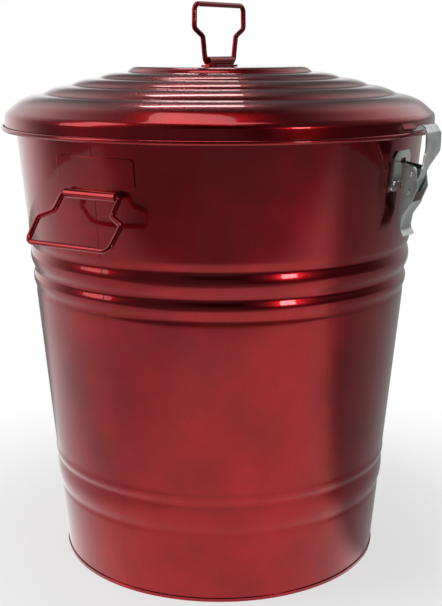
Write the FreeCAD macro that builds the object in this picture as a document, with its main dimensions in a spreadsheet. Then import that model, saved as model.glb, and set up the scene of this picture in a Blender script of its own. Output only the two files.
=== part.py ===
"""A pressed steel can with a stepped lid, two side handles, a lid handle and two toggle latches.

Frame: origin at the middle of the base, +Z up, side handles along X, latches along Y, in mm.
"""
import FreeCAD, Part
import math
import os
import re

import Sketcher

Vector = FreeCAD.Vector
Rotation = FreeCAD.Rotation

# Every driving size, in mm or degrees. wall_taper is the radius gained for each mm of height.
SIZES = {
    # can wall and rolled rim
    "base_radius": 127.7,
    "wall_taper": 0.0894,
    "wall_sheet": 0.7,
    "rim_height": 352.1,
    "rim_wire_radius": 3.0,
    "rim_curl_end_angle": -60.0,
    "seam_width": 6.0,
    "seam_margin": 3.0,
    # clearances: pieces pressed together, a shaft in its bore, pieces that move past each other
    "fit_gap": 0.05,
    "shaft_gap": 0.06,
    "running_gap": 0.3,
    # base
    "floor_sheet": 0.7,
    "floor_height": 5.7,
    "hem_height": 2.6,
    # lower beads, from the lowest edge upwards
    "lower_beads_height": 53.3,
    "foot_groove_width": 6.0,
    "foot_groove_depth": 0.5,
    "belly_width": 18.0,
    "belly_relief": 1.1,
    "neck_groove_width": 4.3,
    "neck_groove_depth": 0.35,
    "collar_width": 6.7,
    "collar_relief": 0.6,
    # upper beads, from the lowest edge upwards
    "upper_beads_height": 217.3,
    "low_groove_width": 6.1,
    "low_groove_depth": 0.5,
    "ridge_width": 8.6,
    "ridge_relief": 0.9,
    "mid_groove_width": 7.4,
    "mid_groove_depth": 1.2,
    "bulge_width": 11.7,
    "bulge_relief": 1.1,
    "top_groove_width": 7.9,
    "top_groove_depth": 1.1,
    # lid
    "lid_sheet": 0.6,
    "skirt_depth": 8.4,
    "lip_curl_radius": 1.1,
    "eave_slope": 41.0,
    "eave_width": 8.1,
    "rib_pitch": 21.5,
    "rib_radius": 40.0,
    "riser_width": 0.9,
    "riser_height": 1.3,
    "dome_radius": 423.0,
    "disc_edge_width": 7.0,
    "disc_rise": 3.4,
    # lid handle and its bracket
    "foot_sheet": 1.0,
    "foot_length": 37.0,
    "foot_width": 13.0,
    "foot_corner": 4.0,
    "lid_barrel_length": 34.0,
    "lid_bail_neck": 23.0,
    "lid_bail_neck_reach": 18.6,
    "lid_bail_shoulder": 34.3,
    "lid_bail_shoulder_reach": 24.6,
    "lid_bail_grip": 33.8,
    "lid_bail_grip_reach": 42.1,
    # wire handles and their rolled barrels
    "handle_wire_radius": 2.0,
    "barrel_sheet": 1.3,
    "pivot_bend": 2.6,
    "pivot_play": 0.2,
    "wire_insert": 13.0,
    "bail_bend": 3.6,
    "grip_bend": 5.0,
    # side handles and their brackets
    "barrel_drop": 46.6,
    "bracket_sheet": 1.2,
    "bracket_width": 67.0,
    "bracket_plate_height": 21.0,
    "bracket_corner": 3.0,
    "tongue_height": 4.5,
    "side_barrel_length": 44.5,
    "side_bail_swing_angle": 40.0,
    "side_bail_neck": 25.2,
    "side_bail_neck_reach": 14.5,
    "side_bail_shoulder": 36.5,
    "side_bail_shoulder_reach": 20.7,
    "side_bail_grip": 35.5,
    "side_bail_grip_reach": 41.0,
    # latch base
    "latch_sheet": 1.2,
    "lever_pin_drop": 26.7,
    "lever_pin_standoff": 11.0,
    "latch_pin_radius": 1.5,
    "pin_head_radius": 2.5,
    "pin_head_height": 0.9,
    "base_half_width": 13.5,
    "base_above_pin": 15.0,
    "base_below_pin": 14.0,
    "base_notch_half": 5.0,
    "base_notch_height": 8.0,
    "base_corner": 4.0,
    "base_lobe_corner": 3.5,
    "window_half": 4.2,
    "window_above_pin": 3.0,
    "window_height": 6.5,
    "ear_inner_half": 5.6,
    "ear_radius": 4.2,
    "ear_foot_half": 7.0,
    "rivet_offset": 9.6,
    "rivet_below_pin": 7.5,
    "rivet_radius": 1.3,
    "rivet_head_radius": 2.4,
    "rivet_head_height": 1.1,
    # latch lever
    "lever_ear_inner_half": 8.2,
    "lever_ear_radius": 4.6,
    "claw_pin_inset": 1.7,
    "claw_pin_drop": 13.0,
    "cheek_brow_out": 6.6,
    "cheek_brow_drop": 10.5,
    "web_knee_out": 2.4,
    "web_knee_drop": 20.5,
    "web_waist_out": -4.7,
    "web_waist_drop": 31.0,
    "web_heel_out": -6.4,
    "web_heel_drop": 40.5,
    "web_tip_out": -3.2,
    "web_tip_drop": 46.0,
    "web_bend": 7.0,
    "cheek_depth": 3.6,
    "cheek_bend": 3.0,
    # latch claw
    "hook_reach": 1.6,
    "hook_lift": 1.0,
    "hook_land": 3.0,
    "hook_land_bend": 1.8,
    "hook_crown_out": 8.5,
    "hook_crown_rise": 5.0,
    "hook_crown_bend": 2.6,
    "claw_brow_out": 12.2,
    "claw_brow_drop": 2.0,
    "claw_brow_bend": 6.0,
    "claw_belly_drop": 14.0,
    "claw_belly_bend": 12.0,
    "claw_throat_out": 7.2,
    "claw_throat_rise": 2.0,
    "claw_throat_bend": 7.0,
    "claw_half_width": 12.5,
    "claw_crown_half": 9.5,
    "claw_tongue_half": 5.2,
    "tongue_rise": 4.0,
    "claw_flare_rise": 14.0,
    "claw_flare_bend": 4.0,
    "claw_shoulder_drop": 3.0,
}

RIB_COUNT = 4
# the bend at an ear's end as a share of its end radius, and a rivet tail's width as a share of its head's
EAR_ROUNDING = 0.9
TAIL_SHARE = 0.8
TINY = 1e-9

doc = FreeCAD.newDocument("TrashCan")
sizes = doc.addObject("Spreadsheet::Sheet", "Sizes")
for row, (alias, value) in enumerate(SIZES.items(), start=1):
    sizes.set(f"A{row}", alias)
    sizes.set(f"B{row}", str(value))
    sizes.setAlias(f"B{row}", alias)
doc.recompute()


def bound(formula):
    """The formula with each size's name pointing at the sheet."""
    def place(match):
        word = match.group(0)
        return f"Sizes.{word}" if word in SIZES else word
    return re.sub(r"[a-z_]+", place, formula)


def amount(formula):
    """The formula's present value."""
    return float(sizes.evalExpression(bound(formula)))


def wall_at(height):
    """Radius of the wall's outer face at a height, as a formula."""
    return f"(base_radius + wall_taper * ({height}))"


# Places that several pieces share, as formulas of the driving sizes.
RIM_RADIUS = f"({wall_at('rim_height')} + rim_wire_radius)"
ROLL_RADIUS = "(rim_wire_radius + wall_sheet)"
SHOULDER_RADIUS = f"({ROLL_RADIUS} + running_gap + lid_sheet)"
SKIRT_RADIUS = f"({RIM_RADIUS} + {SHOULDER_RADIUS})"
RISER_SHIFT = "(lid_sheet * (sqrt(riser_width^2 + riser_height^2) - riser_width) / riser_height)"
LIP_HEIGHT = "(rim_height - skirt_depth)"
LIP_ROLL = "(lip_curl_radius + lid_sheet)"
EAVE_RADIUS = f"({RIM_RADIUS} + {SHOULDER_RADIUS} * sin(eave_slope))"
EAVE_HEIGHT = f"(rim_height + {SHOULDER_RADIUS} * cos(eave_slope))"
OUTER_RIB_RADIUS = f"({EAVE_RADIUS} - eave_width)"
OUTER_RIB_HEIGHT = f"({EAVE_HEIGHT} + eave_width * tan(eave_slope))"
INNER_RIB_RADIUS = f"({OUTER_RIB_RADIUS} - {RIB_COUNT} * rib_pitch)"
BARREL_OUTER = "(handle_wire_radius + shaft_gap + barrel_sheet)"
BARREL_HEIGHT = "(rim_height - barrel_drop)"
SIDE_BARREL_OUT = f"({wall_at(BARREL_HEIGHT)} + {BARREL_OUTER} + fit_gap)"
LEVER_PIN_HEIGHT = f"({LIP_HEIGHT} - lever_pin_drop)"
LEVER_PIN_OUT = f"({wall_at(LEVER_PIN_HEIGHT)} + lever_pin_standoff)"
CLAW_PIN_HEIGHT = f"({LEVER_PIN_HEIGHT} - claw_pin_drop)"
CLAW_PIN_OUT = f"({LEVER_PIN_OUT} - claw_pin_inset)"
RIVET_HEIGHT = f"({LEVER_PIN_HEIGHT} - rivet_below_pin)"
LEVER_HALF = "(lever_ear_inner_half + latch_sheet)"


def rib_height(radius):
    """Height of the lid's outer face where a rib ends at this radius, on the shallow dome."""
    return f"({OUTER_RIB_HEIGHT} + (({OUTER_RIB_RADIUS})^2 - ({radius})^2) / (2 * dome_radius))"


DISC_HEIGHT = f"({rib_height(INNER_RIB_RADIUS)} + disc_rise)"
DISC_RADIUS = f"({INNER_RIB_RADIUS} - disc_edge_width)"
LID_BARREL_HEIGHT = f"({DISC_HEIGHT} + foot_sheet / 2 + {BARREL_OUTER})"


class Outline:
    """A flat line of straight runs and arcs, drawn as a sketch whose sizes are formulas.

    A corner may be sharp or bent to a radius. An arc runs from one sharp corner to the next.
    """

    def __init__(self, horizontal, vertical, bend=None):
        self.corners = [(horizontal, vertical, bend)]
        self.edges = []

    def line(self, horizontal, vertical, bend=None):
        """Adds a straight run to a corner, which may be bent."""
        self.edges.append(None)
        self.corners.append((horizontal, vertical, bend))

    def arc(self, horizontal, vertical, radius, turn, wide=False):
        """Adds an arc to a sharp corner: turn 1 is anticlockwise, -1 clockwise, wide over 180."""
        self.edges.append((radius, turn, wide))
        self.corners.append((horizontal, vertical, None))

    def draw(self, name, closed=True):
        """Makes the sketch, each corner and radius held by a constraint bound to its formula."""
        if closed:
            self.edges.append(None)
        sketch = doc.addObject("Sketcher::SketchObject", name)
        points = [Vector(amount(x), amount(y), 0) for x, y, bend in self.corners]
        arrive, leave, fillets = self._bends(points, closed)
        ids = self._geometry(sketch, arrive, leave, fillets)
        self._constrain(sketch, points, ids, fillets, closed)
        return sketch

    def _bends(self, points, closed):
        """Where each run arrives at and leaves a corner, and the arc that rounds the corner."""
        arrive, leave, fillets = list(points), list(points), {}
        count = len(points)
        for index, (x, y, bend) in enumerate(self.corners):
            if bend is None:
                continue
            before = points[(index - 1) % count] - points[index]
            after = points[(index + 1) % count] - points[index]
            before.normalize()
            after.normalize()
            half = before.getAngle(after) / 2
            radius = amount(bend)
            back = radius / math.tan(half)
            arrive[index] = points[index] + before * back
            leave[index] = points[index] + after * back
            middle = before + after
            middle.normalize()
            centre = points[index] + middle * (radius / math.sin(half))
            turn = 1 if before.cross(after).z < 0 else -1
            fillets[index] = (centre, radius, turn)
        return arrive, leave, fillets

    def _geometry(self, sketch, arrive, leave, fillets):
        """Draws the runs and arcs; gives each its number and which end it starts from."""
        ids = {}
        count = len(self.corners)
        for index, edge in enumerate(self.edges):
            start, end = leave[index], arrive[(index + 1) % count]
            if edge is None:
                ids["run", index] = (sketch.addGeometry(Part.LineSegment(start, end)), 1, 2)
            else:
                radius, turn, wide = amount(edge[0]), edge[1], edge[2]
                centre = self._centre(start, end, radius, turn, wide)
                ids["run", index] = self._arc(sketch, start, end, centre, radius, turn)
        for index, (centre, radius, turn) in fillets.items():
            ids["bend", index] = self._arc(sketch, arrive[index], leave[index], centre, radius, turn)
        return ids

    @staticmethod
    def _centre(start, end, radius, turn, wide):
        """Centre of the arc of this radius between two points."""
        chord = end - start
        offset = math.sqrt(max(radius ** 2 - chord.Length ** 2 / 4, 0))
        side = Vector(-chord.y, chord.x, 0)
        side.normalize()
        sign = turn * (-1 if wide else 1)
        return (start + end) * 0.5 + side * (offset * sign)

    @staticmethod
    def _arc(sketch, start, end, centre, radius, turn):
        """Draws an arc from start to end, which a sketch always stores anticlockwise."""
        first = math.atan2(start.y - centre.y, start.x - centre.x)
        last = math.atan2(end.y - centre.y, end.x - centre.x)
        if turn < 0:
            first, last = last, first
        while last <= first + TINY:
            last += 2 * math.pi
        circle = Part.Circle(centre, Vector(0, 0, 1), radius)
        number = sketch.addGeometry(Part.ArcOfCircle(circle, first, last))
        return (number, 1, 2) if turn > 0 else (number, 2, 1)

    def _constrain(self, sketch, points, ids, fillets, closed):
        """Ties the runs together and binds every corner and radius."""
        constraints, formulas = [], []
        count = len(points)

        def add(formula, *details):
            constraints.append(Sketcher.Constraint(*details))
            formulas.append(formula)

        for index, (x, y, bend) in enumerate(self.corners):
            into = ids.get(("run", (index - 1) % count))
            out = ids.get(("run", index))
            if bend is None:
                if into and out:
                    add(None, "Coincident", into[0], into[2], out[0], out[1])
                number, end = (out[0], out[1]) if out else (into[0], into[2])
                add(x, "DistanceX", -1, 1, number, end, points[index].x)
                add(y, "DistanceY", -1, 1, number, end, points[index].y)
                continue
            corner = sketch.addGeometry(Part.Point(points[index]), True)
            number, first, last = ids["bend", index]
            add(x, "DistanceX", -1, 1, corner, 1, points[index].x)
            add(y, "DistanceY", -1, 1, corner, 1, points[index].y)
            add(None, "PointOnObject", corner, 1, into[0])
            add(None, "PointOnObject", corner, 1, out[0])
            add(None, "Tangent", into[0], into[2], number, first)
            add(None, "Tangent", out[0], out[1], number, last)
            add(bend, "Radius", number, fillets[index][1])
        for index, edge in enumerate(self.edges):
            if edge is not None:
                add(edge[0], "Radius", ids["run", index][0], amount(edge[0]))
        sketch.addConstraint(constraints)
        for index, formula in enumerate(formulas):
            if formula is not None:
                sketch.setExpression(f"Constraints[{index}]", bound(formula))


def place(item, position=(0, 0, 0), axis=(0, 0, 1), angle=0.0):
    """Puts an object at a position, turned by an angle about an axis."""
    item.Placement = FreeCAD.Placement(Vector(*position), Rotation(Vector(*axis), angle))
    return item


def upright(sketch, position=(0, 0, 0)):
    """Stands a sketch up in the XZ plane."""
    return place(sketch, position, (1, 0, 0), 90)


def facing(sketch, position=(0, 0, 0)):
    """Stands a sketch up in the YZ plane, its first direction along +Y."""
    sketch.Placement = FreeCAD.Placement(Vector(*position), Rotation(Vector(0, 1, 0), Vector(0, 0, 1),
                                                                      Vector(1, 0, 0), "ZXY"))
    return sketch


def bind(item, **formulas):
    """Binds an object's properties to formulas."""
    for name, formula in formulas.items():
        item.setExpression(name, bound(formula))
    return item


def revolve(name, sketch, angle=None):
    """Turns an upright outline about the Z axis, all the way or by an angle about its plane."""
    item = doc.addObject("Part::Revolution", name)
    item.Source = sketch
    item.Axis = (0, 0, 1)
    item.Base = (0, 0, 0)
    item.Solid = True
    item.Angle = 360
    if angle:
        item.Symmetric = True
        bind(item, Angle=angle)
    return item


def extrude(name, sketch, direction, half=None, length=None):
    """Thickens an outline: half to each side, or a length one way."""
    item = doc.addObject("Part::Extrusion", name)
    item.Base = sketch
    item.DirMode = "Custom"
    item.Dir = direction
    item.Solid = True
    item.Symmetric = half is not None
    bind(item, LengthFwd=f"2 * {half}" if half else length)
    return item


def join(name, *items):
    """Fuses objects into one solid."""
    item = doc.addObject("Part::MultiFuse", name)
    item.Shapes = items
    return item


def cut(name, base, *tools):
    """Takes tools away from a base."""
    for number, tool in enumerate(tools, start=1):
        item = doc.addObject("Part::Cut", name if number == len(tools) else f"{name}_cut_{number}")
        item.Base = base
        item.Tool = tool
        base = item
    return base


def overlap(name, base, tool):
    """Keeps what two objects share."""
    item = doc.addObject("Part::Common", name)
    item.Base = base
    item.Tool = tool
    return item


def rod(name, radius, half, axis, out, height):
    """A cylinder centred on the XZ plane's point (out, height), lying along X or Y."""
    item = doc.addObject("Part::Cylinder", name)
    bind(item, Radius=radius, Height=f"2 * {half}")
    reach = amount(half)
    if axis == "y":
        return place(item, (amount(out), reach, amount(height)), (1, 0, 0), 90)
    return place(item, (amount(out) - reach, 0, amount(height)), (0, 1, 0), 90)


def sweep(name, section, path):
    """Carries a section along a path."""
    doc.recompute()
    item = doc.addObject("Part::Sweep", name)
    item.Sections = [section]
    item.Spine = (path, [f"Edge{number}" for number in range(1, len(path.Shape.Edges) + 1)])
    item.Solid = True
    item.Frenet = False
    return item


def turned(angle):
    """A turn about the can's axis."""
    return FreeCAD.Placement(Vector(0, 0, 0), Rotation(Vector(0, 0, 1), angle))


LOWER_BEADS = [
    ("foot_groove_width", "foot_groove_depth", -1),
    ("belly_width", "belly_relief", 1),
    ("neck_groove_width", "neck_groove_depth", -1),
    ("collar_width", "collar_relief", 1),
]
UPPER_BEADS = [
    ("low_groove_width", "low_groove_depth", -1),
    ("ridge_width", "ridge_relief", 1),
    ("mid_groove_width", "mid_groove_depth", -1),
    ("bulge_width", "bulge_relief", 1),
    ("top_groove_width", "top_groove_depth", -1),
]


def bead_edges():
    """The wall's edges from the lowest bead up: each top height, and its arc's radius and side."""
    edges = []
    for start, beads in (("lower_beads_height", LOWER_BEADS), ("upper_beads_height", UPPER_BEADS)):
        height = start
        edges.append((height, None, 0))
        for width, relief, side in beads:
            height = f"{height} + {width}"
            edges.append((height, f"({width}^2 / 4 + {relief}^2) / (2 * {relief})", side))
    return edges


def climb_wall(outline, shift):
    """Draws the beaded wall upwards, at this distance inside its outer face."""
    for height, radius, side in bead_edges():
        across = f"{wall_at(height)} - {shift}"
        if radius is None:
            outline.line(across, height)
        else:
            outline.arc(across, height, radius, side)


def descend_wall(outline, shift):
    """Draws the same beaded wall downwards."""
    edges = bead_edges()
    across = f"{wall_at(edges[-1][0])} - {shift}"
    outline.line(across, edges[-1][0])
    for (lower, _, _), (_, radius, side) in zip(edges[-2::-1], edges[:0:-1]):
        across = f"{wall_at(lower)} - {shift}"
        if radius is None:
            outline.line(across, lower)
        else:
            outline.arc(across, lower, radius, -side)


def curl_point(centre, height, radius, angle):
    """A point on a curl round a centre."""
    return f"{centre} + {radius} * cos({angle})", f"{height} + {radius} * sin({angle})"


def make_rivet_hole(name, turn, radius):
    """A drill through the wall, square to it, where a latch rivet goes."""
    item = doc.addObject("Part::Cylinder", name)
    bind(item, Radius=radius, Height="4 * rivet_head_radius")
    depth = amount("2 * rivet_head_radius")
    item.Placement = rivet_placement(turn).multiply(FreeCAD.Placement(Vector(-depth, 0, 0),
                                                                      Rotation(Vector(0, 1, 0), 90)))
    return item


def rivet_placement(turn):
    """The wall's outer face at a latch rivet, +X square out of the wall, turned about the can."""
    lean = math.degrees(math.atan(amount("wall_taper")))
    at_wall = FreeCAD.Placement(Vector(amount(wall_at(RIVET_HEIGHT)), 0, amount(RIVET_HEIGHT)),
                                Rotation(Vector(0, 1, 0), lean))
    return turned(turn).multiply(at_wall)


def rivet_angles(side):
    """The turn about the can of both rivets of the latch on one side."""
    spread = math.degrees(math.asin(amount(f"rivet_offset / {wall_at(RIVET_HEIGHT)}")))
    return [side - spread, side + spread]


def make_can_shell():
    """The beaded wall with its rolled rim, and the fold of the lock seam inside it."""
    start = "floor_sheet + fit_gap"
    section = Outline(wall_at(start), start)
    climb_wall(section, "0")
    section.line(wall_at("rim_height"), "rim_height")
    x, z = curl_point(RIM_RADIUS, "rim_height", "rim_wire_radius", "rim_curl_end_angle")
    section.arc(x, z, "rim_wire_radius", -1, wide=True)
    x, z = curl_point(RIM_RADIUS, "rim_height", ROLL_RADIUS, "rim_curl_end_angle")
    section.line(x, z)
    section.arc(f"{wall_at('rim_height')} - wall_sheet", "rim_height", ROLL_RADIUS, 1, wide=True)
    descend_wall(section, "wall_sheet")
    section.line(f"{wall_at(start)} - wall_sheet", start)
    wall = revolve("can_wall", upright(section.draw("can_wall_outline")))

    low = "(floor_height + seam_margin)"
    high = "(rim_height - seam_margin)"
    fold = Outline(f"{wall_at(low)} - wall_sheet / 2", low)
    climb_wall(fold, "wall_sheet / 2")
    fold.line(f"{wall_at(high)} - wall_sheet / 2", high)
    fold.line(f"{wall_at(high)} - 2 * wall_sheet", high)
    descend_wall(fold, "2 * wall_sheet")
    fold.line(f"{wall_at(low)} - 2 * wall_sheet", low)
    seam = revolve("lock_seam", upright(fold.draw("lock_seam_outline")),
                   f"seam_width / base_radius * 180 / {math.pi}")
    whole = join("can_wall_with_seam", wall, seam)
    whole.Placement = turned(180)
    drills = []
    for side in (-90, 90):
        for number, turn in enumerate(rivet_angles(side), start=1):
            drills.append(make_rivet_hole(f"wall_hole_{side + 90}_{number}", turn, "rivet_radius + fit_gap"))
    return cut("can_shell", whole, *drills)


def make_can_bottom():
    """The floor pan, its edge taken down, under the wall's foot and up outside as the hem."""
    inside = "(wall_sheet + fit_gap)"
    section = Outline("0", "floor_height - floor_sheet")
    height = "(floor_height - floor_sheet)"
    section.line(f"{wall_at(height)} - {inside} - floor_sheet", height)
    section.line(f"{wall_at('0')} - {inside} - floor_sheet", "0")
    section.line(f"{wall_at('0')} + fit_gap + floor_sheet", "0")
    section.line(f"{wall_at('hem_height')} + fit_gap + floor_sheet", "hem_height")
    section.line(f"{wall_at('hem_height')} + fit_gap", "hem_height")
    section.line(f"{wall_at('floor_sheet')} + fit_gap", "floor_sheet")
    section.line(f"{wall_at('floor_sheet')} - {inside}", "floor_sheet")
    section.line(f"{wall_at('floor_height')} - {inside}", "floor_height")
    section.line("0", "floor_height")
    return revolve("can_bottom", upright(section.draw("can_bottom_outline")))


def make_rim_wire():
    """The wire that the rim is rolled round."""
    ring = doc.addObject("Part::Torus", "rim_wire")
    bind(ring, Radius1=RIM_RADIUS, Radius2="rim_wire_radius - fit_gap")
    return place(ring, (0, 0, amount("rim_height")))


def wall_layer(name, low, high, thickness):
    """A layer of sheet laid on the wall between two heights."""
    cones = []
    for part, extra in (("outer", thickness), ("inner", "0")):
        cone = doc.addObject("Part::Cone", f"{name}_{part}")
        bind(cone, Radius1=f"{wall_at(low)} + {extra}", Radius2=f"{wall_at(high)} + {extra}",
             Height=f"({high}) - ({low})")
        cones.append(place(cone, (0, 0, amount(low))))
    return cut(f"{name}_layer", *cones)


def make_side_bracket(name, turn):
    """A plate laid on the wall, its tongue rolled into the barrel that carries the handle."""
    low = BARREL_HEIGHT
    plate_low = f"({BARREL_HEIGHT} + tongue_height)"
    high = f"({BARREL_HEIGHT} + tongue_height + bracket_plate_height)"
    half, tongue = "bracket_width / 2", "side_barrel_length / 2"
    front = Outline(f"-{tongue}", low)
    front.line(tongue, low)
    front.line(tongue, plate_low)
    front.line(half, plate_low, "bracket_corner")
    front.line(half, high, "bracket_corner")
    front.line(f"-{half}", high, "bracket_corner")
    front.line(f"-{half}", plate_low, "bracket_corner")
    front.line(f"-{tongue}", plate_low)
    block = extrude(f"{name}_front", facing(front.draw(f"{name}_outline")), (1, 0, 0),
                    length="2 * base_radius")
    plate = overlap(f"{name}_plate", wall_layer(name, low, high, "bracket_sheet"), block)
    barrel = rod(f"{name}_barrel", BARREL_OUTER, tongue, "y", SIDE_BARREL_OUT, BARREL_HEIGHT)
    bore = rod(f"{name}_bore", "handle_wire_radius + shaft_gap", "side_barrel_length", "y",
               SIDE_BARREL_OUT, BARREL_HEIGHT)
    bracket = cut(name, join(f"{name}_whole", plate, barrel), bore)
    bracket.Placement = turned(turn)
    return bracket


def bail_path(name, barrel, prefix, way):
    """The bent wire's line: into the barrel at both ends, its grip at the far side.

    way is 1 when the grip lies towards +, -1 when it hangs.
    """
    inner = f"({barrel} / 2 - wire_insert)"
    leg = f"({barrel} / 2 + pivot_play + pivot_bend)"
    half = [
        (leg, "0", "pivot_bend"),
        (f"{prefix}_neck", f"{prefix}_neck_reach", "bail_bend"),
        (f"{prefix}_shoulder", f"{prefix}_shoulder_reach", "bail_bend"),
        (f"{prefix}_grip", f"{prefix}_grip_reach", "grip_bend"),
    ]
    line = Outline(f"-{inner}", "0")
    for across, reach, bend in half:
        line.line(f"-({across})", f"{way} * ({reach})", bend)
    for across, reach, bend in reversed(half):
        line.line(across, f"{way} * ({reach})", bend)
    line.line(inner, "0")
    return line.draw(f"{name}_path", closed=False)


def wire_section(name, barrel, out, height, along):
    """The wire's round section at the bail's first end."""
    ring = doc.addObject("Part::Circle", f"{name}_section")
    bind(ring, Radius="handle_wire_radius")
    reach = -amount(f"{barrel} / 2 - wire_insert")
    if along == "y":
        return place(ring, (out, reach, height), (1, 0, 0), 90)
    return place(ring, (reach, out, height), (0, 1, 0), 90)


def make_side_bail(name, turn):
    """A wire handle that hangs from its bracket's barrel, swung a little out from the wall."""
    out, height = amount(SIDE_BARREL_OUT), amount(BARREL_HEIGHT)
    path = facing(bail_path(name, "side_barrel_length", "side_bail", -1), (out, 0, height))
    bail = sweep(name, wire_section(name, "side_barrel_length", out, height, "y"), path)
    swing = Rotation(Vector(0, 1, 0), -amount("side_bail_swing_angle"))
    bail.Placement = turned(turn).multiply(FreeCAD.Placement(Vector(0, 0, 0), swing, Vector(out, 0, height)))
    return bail


def make_lid_shell():
    """The stepped lid: a flat disc, ribs and low risers out to the eave, a skirt and a curled lip."""
    section = Outline("0", DISC_HEIGHT)
    section.line(DISC_RADIUS, DISC_HEIGHT)
    edge_radius = "(disc_edge_width^2 + disc_rise^2) / (2 * disc_rise)"
    ribs = [f"({OUTER_RIB_RADIUS} - {RIB_COUNT - index} * rib_pitch)" for index in range(RIB_COUNT + 1)]
    section.arc(ribs[0], rib_height(ribs[0]), edge_radius, -1)
    for inner, outer in zip(ribs, ribs[1:]):
        section.line(f"{inner} + riser_width", f"{rib_height(inner)} - riser_height")
        section.arc(outer, rib_height(outer), "rib_radius", -1)
    section.line(EAVE_RADIUS, EAVE_HEIGHT)
    section.arc(SKIRT_RADIUS, "rim_height", SHOULDER_RADIUS, -1)
    section.line(SKIRT_RADIUS, LIP_HEIGHT)
    curl = f"({SKIRT_RADIUS} + lip_curl_radius)"
    section.arc(curl, f"{LIP_HEIGHT} + lip_curl_radius", "lip_curl_radius", 1, wide=True)
    section.line(curl, f"{LIP_HEIGHT} + {LIP_ROLL}")
    section.arc(f"{SKIRT_RADIUS} - lid_sheet", LIP_HEIGHT, LIP_ROLL, -1, wide=True)
    section.line(f"{SKIRT_RADIUS} - lid_sheet", "rim_height")
    under = f"({SHOULDER_RADIUS} - lid_sheet)"
    section.arc(f"{RIM_RADIUS} + {under} * sin(eave_slope)", f"rim_height + {under} * cos(eave_slope)",
                under, 1)
    section.line(ribs[-1], f"{rib_height(ribs[-1])} - lid_sheet")
    for inner in ribs[-2::-1]:
        foot = f"{rib_height(inner)} - riser_height - lid_sheet"
        section.arc(f"{inner} + riser_width - {RISER_SHIFT}", foot, "rib_radius", 1)
        section.line(f"{inner} - {RISER_SHIFT}", f"{rib_height(inner)} - lid_sheet")
    section.arc(DISC_RADIUS, f"{DISC_HEIGHT} - lid_sheet", edge_radius, 1)
    section.line("0", f"{DISC_HEIGHT} - lid_sheet")
    return revolve("lid_shell", upright(section.draw("lid_outline")))


def make_lid_bracket():
    """The foot plate on the lid's disc and the rolled barrel along X on top of it."""
    half, side = "foot_length / 2", "foot_width / 2"
    base = Outline(f"-{half}", f"-{side}", "foot_corner")
    base.line(half, f"-{side}", "foot_corner")
    base.line(half, side, "foot_corner")
    base.line(f"-{half}", side, "foot_corner")
    height = amount(DISC_HEIGHT)
    foot = extrude("lid_foot", place(base.draw("lid_foot_outline"), (0, 0, height)), (0, 0, 1),
                   length="foot_sheet")
    barrel = rod("lid_barrel", BARREL_OUTER, "lid_barrel_length / 2", "x", "0", LID_BARREL_HEIGHT)
    bore = rod("lid_bore", "handle_wire_radius + shaft_gap", "lid_barrel_length", "x", "0",
               LID_BARREL_HEIGHT)
    return cut("lid_bracket", join("lid_bracket_whole", foot, barrel), bore)


def make_lid_bail():
    """The lid's wire handle, standing upright."""
    height = amount(LID_BARREL_HEIGHT)
    path = upright(bail_path("lid_bail", "lid_barrel_length", "lid_bail", 1), (0, 0, height))
    return sweep("lid_bail", wire_section("lid_bail", "lid_barrel_length", 0, height, "x"), path)


def ear_plates(name, outline, inner_half):
    """Two cheeks of latch sheet, one each side of the latch's middle."""
    plates = []
    for part, shift in (("near", f"-({inner_half} + latch_sheet)"), ("far", inner_half)):
        sketch = outline(f"{name}_{part}_outline")
        upright(sketch, (0, amount(shift) + amount("latch_sheet"), 0))
        plates.append(extrude(f"{name}_{part}", sketch, (0, -1, 0), length="latch_sheet"))
    return plates


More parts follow.
